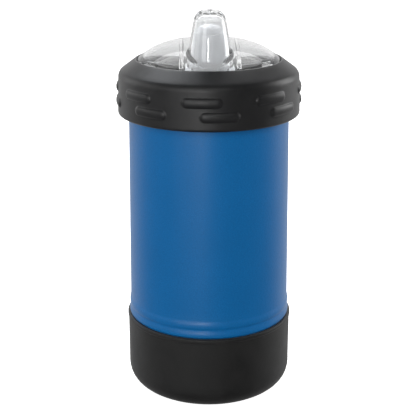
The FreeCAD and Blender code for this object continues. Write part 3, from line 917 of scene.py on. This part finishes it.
def clear_lid():
    """Dome, spout, flange and plug as one skin that is lofted round the spout's axis.

    Every ring has one point on each of the rays that leave the spout's axis, given as its distance
    along the ray and its height. The rays end at even steps round the dome's edge."""
    angle = np.linspace(0, TAU, 400, endpoint=False)
    spout = np.array([0, SPOUT_Y])
    ray = DOME_FOOT_R * np.stack([np.cos(angle), np.sin(angle)], 1) - spout
    ray /= np.linalg.norm(ray, axis=1)[:, None]
    lean = ray @ spout

    def reach(radius):
        """Distance along each ray to the circle of this radius about the lid's axis."""
        return -lean + np.sqrt(lean**2 - SPOUT_Y**2 + radius**2)

    def face_height(distance, edge_r, wall_r, drop):
        """Dome height along the rays, with an arc that turns it down into a vertical wall."""
        radius = np.sqrt(SPOUT_Y**2 + 2 * lean * distance + distance**2)
        tilt = math.atan(dome_slope(edge_r))
        bend = (wall_r - edge_r) / (1 - math.sin(tilt))
        centre_z = dome_height(edge_r) - drop - bend * math.cos(tilt)
        inside = np.clip(bend**2 - (radius - wall_r + bend) ** 2, 0, None)
        return np.where(radius < edge_r, dome_height(radius) - drop, centre_z + np.sqrt(inside))

    def top_height(distance):
        return face_height(distance, DOME_EDGE_R, DOME_FOOT_R, 0)

    def hollow_height(distance):
        return face_height(distance, HOLLOW_EDGE_R, PLUG_BORE_R, LID_T)

    def lowered(points, top):
        return [(radius, top - drop) for radius, drop in points]

    ones = np.ones(len(angle))
    rings = []

    # Crown of the spout
    top = (0, SPOUT_TOP_Z)
    corner = arc_through(top, *lowered(CROWN_ARC, SPOUT_TOP_Z), count=10)
    side = arc_through(corner[-1], CROWN_SIDE, (SHOULDER_R, SHOULDER_Z), count=14)
    for radius, height in [top, *corner, *side]:
        rings.append((radius * ones, height * ones))

    # Side of the spout down to its root, then the dome out to its edge
    root_r = SPOUT_FOOT_R * ones
    for _ in range(12):
        root_r = spout_radius(top_height(root_r))
    root_z = top_height(root_r)
    room = reach(DOME_FOOT_R) - root_r
    wide = np.minimum(ROOT_BLEND, 0.6 * room)
    for share in np.linspace(0, 1, 18)[1:]:
        height = SHOULDER_Z + (root_z + wide - SHOULDER_Z) * share
        rings.append((spout_radius(height), height))
    start, end = root_r + wide, reach(DOME_FOOT_R) - 1e-4
    rings += fillet(rings[-1], (root_r, root_z), (start, top_height(start)), count=8)
    for share in np.linspace(0, 1, 40):
        distance = start + (end - start) * (1 - (1 - share) ** 2)
        rings.append((distance, top_height(distance)))

    # Land, flange and plug, all round about the lid's axis
    start_z, end_z = rings[-1][1][0], hollow_height(reach(PLUG_BORE_R))[0]
    lip = rounded(
        (DOME_FOOT_R, start_z), (DOME_FOOT_R, LAND_Z, 0.4), (LAND_R, LAND_Z, 0.3),
        (LAND_R, FLANGE_TOP_Z, 0.2), (FLANGE_R, FLANGE_TOP_Z, 0.3), (FLANGE_R, FLANGE_UNDER_Z, 0.3),
        (PLUG_R, FLANGE_UNDER_Z, 0.12), (PLUG_R, PLUG_FOOT_Z, 0.5), (PLUG_BORE_R, PLUG_FOOT_Z, 0.5),
        (PLUG_BORE_R, end_z),
    )
    for radius, height in densified(lip, step=1.6)[1:]:
        rings.append((reach(radius), height * ones))

    # Hollow of the dome, in to the spout's socket
    start, end = reach(PLUG_BORE_R), (SOCKET_R + 0.4) * ones
    for share in np.linspace(0, 1, 34)[1:]:
        distance = start + (end - start) * share**2
        rings.append((distance, hollow_height(distance)))
    wall, corner_z = SOCKET_R * ones, hollow_height(SOCKET_R * ones)
    high, low = corner_z - 0.4, SOCKET_FOOT_Z + 0.3
    rings += fillet(rings[-1], (wall, corner_z), (wall, high), count=5)
    for share in np.linspace(0, 1, 6)[:-1]:
        rings.append((wall, high * (1 - share) + low * share))

    # Foot of the socket and the bore up to its roof
    bore_r = spout_radius(SOCKET_FOOT_Z) - SPOUT_T
    socket = rounded((SOCKET_R, low), (SOCKET_R, SOCKET_FOOT_Z, 0.2), (bore_r, SOCKET_FOOT_Z, 0.2),
                     (bore_r, low))
    bore = spout_wall(SPOUT_T, SOCKET_FOOT_Z + 0.4, SHOULDER_Z - 0.7, count=20)
    roof_z = SPOUT_TOP_Z - CROWN_T
    roof_bend, roof_middle, roof_edge = lowered((ROOF_SIDE, *ROOF_ARC), roof_z)
    roof = arc_through(bore[-1], roof_bend, roof_edge, count=10)
    middle = arc_through(roof[-1], roof_middle, (0, roof_z), count=8)
    for radius, height in np.concatenate([socket, bore, roof, middle]):
        rings.append((radius * ones, height * ones))

    points = [np.column_stack([spout + ray * distance[:, None], height]) for distance, height in rings]
    return surface("clear_lid", np.array(points))


def rib(side):
    """Wall under the dome beside the spout, rounded along its foot and buried in the dome at the top."""
    inner, outer = RIB_X
    width = np.array([inner, inner, inner + RIB_BEVEL, outer - RIB_BEVEL, outer, outer])
    lift = np.array([np.nan, RIB_BEVEL, 0, 0, RIB_BEVEL, np.nan])
    half_length = np.sqrt((DOME_FOOT_R - 0.4) ** 2 - width**2)
    rings = []
    for share in np.sin(np.linspace(-TAU / 4, TAU / 4, 120)):
        depth = half_length * share
        radius = np.hypot(width, depth)
        buried = dome_height(np.minimum(radius, DOME_EDGE_R)) - LID_T / 2
        foot = dome_height(np.minimum(radius, HOLLOW_EDGE_R)) - LID_T - RIB_DEPTH
        height = np.where(np.isnan(lift), buried, foot + lift)
        rings.append(np.column_stack([side * width, depth, height]))
    ends = [np.broadcast_to(ring.mean(0), ring.shape) for ring in (rings[0], rings[-1])]
    return surface("rib", np.array([ends[0], *rings, ends[1]]))


def peg(name, radius, low, high, x, y, segments=64):
    """Round bar, for joining to or cutting out of another mesh."""
    return turned(name, np.array([(0, low), (radius, low), (radius, high), (0, high)]), segments, (x, y))


def lid():
    """Clear lid with its ribs, vent socket and holes."""
    piece = clear_lid()
    vent_top = dome_height(VENT_Y) - LID_T / 2
    tube_outline = rounded(
        (VENT_BORE_R, SOCKET_FOOT_Z, 0.2), (VENT_SOCKET_R, SOCKET_FOOT_Z, 0.2),
        (VENT_SOCKET_R, vent_top), (VENT_BORE_R, vent_top), closed=True,
    )
    tube = turned("vent_tube", tube_outline, 96, (0, VENT_Y))
    combined(piece, [rib(-1), rib(1), tube], "UNION")
    holes = [
        peg(f"hole_{step}", HOLE_R, SHOULDER_Z - 2, SPOUT_TOP_Z + OVERCUT, step * HOLE_SPACING, SPOUT_Y, 48)
        for step in (-1, 0, 1)
    ]
    holes.append(peg("vent_hole", VENT_HOLE_R, vent_top - 2, DOME_TOP_Z + OVERCUT, 0, VENT_Y))
    return crisp(combined(piece, holes, "DIFFERENCE"))


# Studio


def drive_shift(camera, shift):
    """Lens shift that holds at the camera's own place and is off once a view turns it by quaternion."""
    curve = camera.data.driver_add("shift_y")
    curve.driver.type = "SUM"
    mode = curve.driver.variables.new()
    mode.targets[0].id = camera
    mode.targets[0].data_path = "rotation_mode"
    for old in list(curve.modifiers):
        curve.modifiers.remove(old)
    scale = curve.modifiers.new("GENERATOR")
    scale.coefficients = (0.0, shift)


def make_way(camera, body, travel, move):
    """Backs the camera off as a body travels along Z, so that a pose stays in the picture."""
    follow = camera.constraints.new("TRANSFORM")
    follow.target = frame["bodies"][body]
    follow.map_from = follow.map_to = "LOCATION"
    follow.from_min_z, follow.from_max_z = min(travel, 0) * MM, max(travel, 0) * MM
    follow.map_to_y_from = follow.map_to_z_from = "Z"
    still = (0, 0)
    low, high = (still, move) if travel > 0 else (move, still)
    follow.to_min_y, follow.to_max_y = low[0] * MM, high[0] * MM
    follow.to_min_z, follow.to_max_z = low[1] * MM, high[1] * MM


def camera():
    """Camera that gives the photograph's perspective, with its lens shifted to frame the cup."""
    data = bpy.data.cameras.new("camera")
    made = bpy.data.objects.new("camera", data)
    bpy.context.scene.collection.objects.link(made)
    data.sensor_width = 36
    data.lens = LENS
    data.shift_x = LENS_SHIFT_X
    made.rotation_mode = "XYZ"
    right, ahead = math.sin(CAMERA_TURN), math.cos(CAMERA_TURN)
    made.location = Vector((CAMERA_DISTANCE * right, -CAMERA_DISTANCE * ahead, CAMERA_HEIGHT)) * MM
    made.rotation_euler = (TAU / 4 - CAMERA_PITCH, 0, CAMERA_TURN)
    drive_shift(made, LENS_SHIFT_Y)
    make_way(made, "lid", LID_TRAVEL, LID_ROOM)
    make_way(made, "boot", BOOT_TRAVEL, BOOT_ROOM)
    bpy.context.scene.camera = made


def softbox(name, azimuth, elevation, size, power, tint=(1, 1, 1), mirrored=True, flag=None, only=None):
    """Light a metre from the cup, of a size in metres, with its power in watts.

    Azimuth 0 is the camera's side, and positive azimuths are to its right. A light that is not mirrored
    leaves no reflection. A flag is a piece that the light leaves out, and only is the one piece it lights."""
    data = bpy.data.lights.new(name, "AREA")
    data.shape = "RECTANGLE"
    data.size, data.size_y = size
    data.energy = power
    data.color = tint
    made = bpy.data.objects.new(name, data)
    side, up = math.radians(azimuth), math.radians(elevation)
    out = Vector((math.sin(side) * math.cos(up), -math.cos(side) * math.cos(up), math.sin(up)))
    made.location = Vector((0, 0, LIGHT_AIM_Z * MM)) + out
    made.visible_glossy = made.visible_transmission = mirrored
    made.rotation_euler = (-out).to_track_quat("-Z", "Y").to_euler()
    bpy.context.scene.collection.objects.link(made)
    chosen = flag or only
    if chosen:
        listed = bpy.data.collections.new(name + "_list")
        listed.objects.link(chosen)
        listed.collection_objects[0].light_linking.link_state = "EXCLUDE" if flag else "INCLUDE"
        made.light_linking.receiver_collection = listed


def backdrop(tree, vector, ends, glow, seen):
    """Strength of the white behind the cup.

    Reflections get a ramp over the Y part of a vector, from nothing at its first end, on the camera's side,
    to full glow at the second. The camera sees one even strength, and only the softboxes light matte
    surfaces."""
    split = tree.nodes.new("ShaderNodeSeparateXYZ")
    tree.links.new(vector, split.inputs[0])
    ramp = tree.nodes.new("ShaderNodeMapRange")
    ramp.interpolation_type = "SMOOTHSTEP"
    tree.links.new(split.outputs["Y"], ramp.inputs["Value"])
    for key, value in zip(("From Min", "From Max", "To Min", "To Max"), (*ends, 0, glow)):
        ramp.inputs[key].default_value = value
    path = tree.nodes.new("ShaderNodeLightPath")
    result = ramp.outputs["Result"]
    for kind, value in (("Is Diffuse Ray", 0.0), ("Is Camera Ray", seen)):
        pick = tree.nodes.new("ShaderNodeMix")
        tree.links.new(path.outputs[kind], pick.inputs[0])
        tree.links.new(result, pick.inputs[2])
        pick.inputs[3].default_value = value
        result = pick.outputs[0]
    return result


def surroundings():
    """White world, which reflections see only behind the cup."""
    world = bpy.data.worlds.new("studio")
    world.use_nodes = True
    bpy.context.scene.world = world
    tree = world.node_tree
    light = tree.nodes["Background"]
    place = tree.nodes.new("ShaderNodeTexCoord")
    glow = backdrop(tree, place.outputs["Generated"], BACKDROP_RAMP, BACKDROP_GLOW, BACKDROP_SEEN)
    tree.links.new(glow, light.inputs["Strength"])
    light.inputs["Color"].default_value = (1, 1, 1, 1)


def floor():
    """Pale seamless floor. It keeps under the boot's sole when the boot is pulled down."""
    corners = [(-1, -1, 0), (1, -1, 0), (1, 1, 0), (-1, 1, 0)]
    made = new_object("floor", np.array(corners) * FLOOR_HALF, [(0, 1, 2, 3)])
    look = Look("pale_floor", Roughness=0.7, Emission_Color=(1, 1, 1, 1))
    path = look.node("ShaderNodeLightPath")
    pale = look.blend(look.noise(60, 3), (0.8, 0.8, 0.8), (0.84, 0.84, 0.84))
    look.feed(look.blend(path.outputs["Is Camera Ray"], (0.1, 0.1, 0.1), pale), "Base Color")
    view = look.node("ShaderNodeNewGeometry")
    glow = backdrop(look.tree, view.outputs["Incoming"], FLOOR_RAMP, FLOOR_GLOW, FLOOR_SEEN)
    look.feed(glow, "Emission Strength")
    made.data.materials.append(look.made)
    follow = made.constraints.new("COPY_LOCATION")
    follow.target = frame["bodies"]["boot"]
    follow.use_x = follow.use_y = False


def studio(clear):
    """Floor, backdrop, camera and lights. Lights from above light the clear lid apart from the rest."""
    bpy.context.scene.view_settings.view_transform = "Standard"
    surroundings()
    floor()
    camera()
    cool = (0.9, 0.95, 1.0)
    softbox("strip", -11, 4, (0.08, 0.34), 1.9)
    softbox("front_left", -35, 10, (0.4, 0.5), 1.45)
    softbox("brow", -8, 32, (0.8, 0.2), 1.0)
    softbox("fill_left", -35, 25, (0.8, 0.6), 0.6, mirrored=False)
    softbox("fill_right", 30, 25, (0.8, 0.6), 0.85, mirrored=False)
    softbox("fill_far_right", 65, 20, (0.8, 0.6), 1.55, mirrored=False)
    softbox("left", -80, 15, (0.5, 0.6), 1.1)
    softbox("back_left", -115, 15, (0.5, 0.6), 1.75)
    softbox("back_right", 110, 15, (0.5, 0.6), 4.3)
    softbox("top_left", -145, 60, (0.7, 0.5), 3.2, cool, flag=clear)
    softbox("top_back", 180, 50, (0.7, 0.4), 7.3, flag=clear)
    softbox("ceiling", 180, 80, (1.4, 1.4), 12.0, only=clear)


steel = brushed_steel("brushed_steel")
milky = milky_silicone()
place(steel_shell(), "cup", "powder_blue", powder_blue(), "outer_shell")
place(steel_liner(), "cup", "stainless", steel, "inner_liner")
place(boot(), "boot", "silicone_black", black_silicone(), "base_boot")
place(collar(), "collar", "collar_black", collar_plastic(), "collar_ring")
clear_dome = place(lid(), "lid", "clear_plastic", clear_plastic(), "dome_lid")
place(gasket(), "lid", "silicone_milky", milky, "lid_gasket")
place(valve(), "valve", "silicone_milky", milky, "spout_valve")

cad_looks = {
    "shell_base": steel,
    "base_cover": steel,
    "getter_clip": steel,
    "vacuum_seal": fused_glass(),
    "getter_pellet": getter_metal(),
}
for node, look in cad_looks.items():
    for material_slot in nodes[node].material_slots:
        material_slot.material = look

studio(clear_dome)
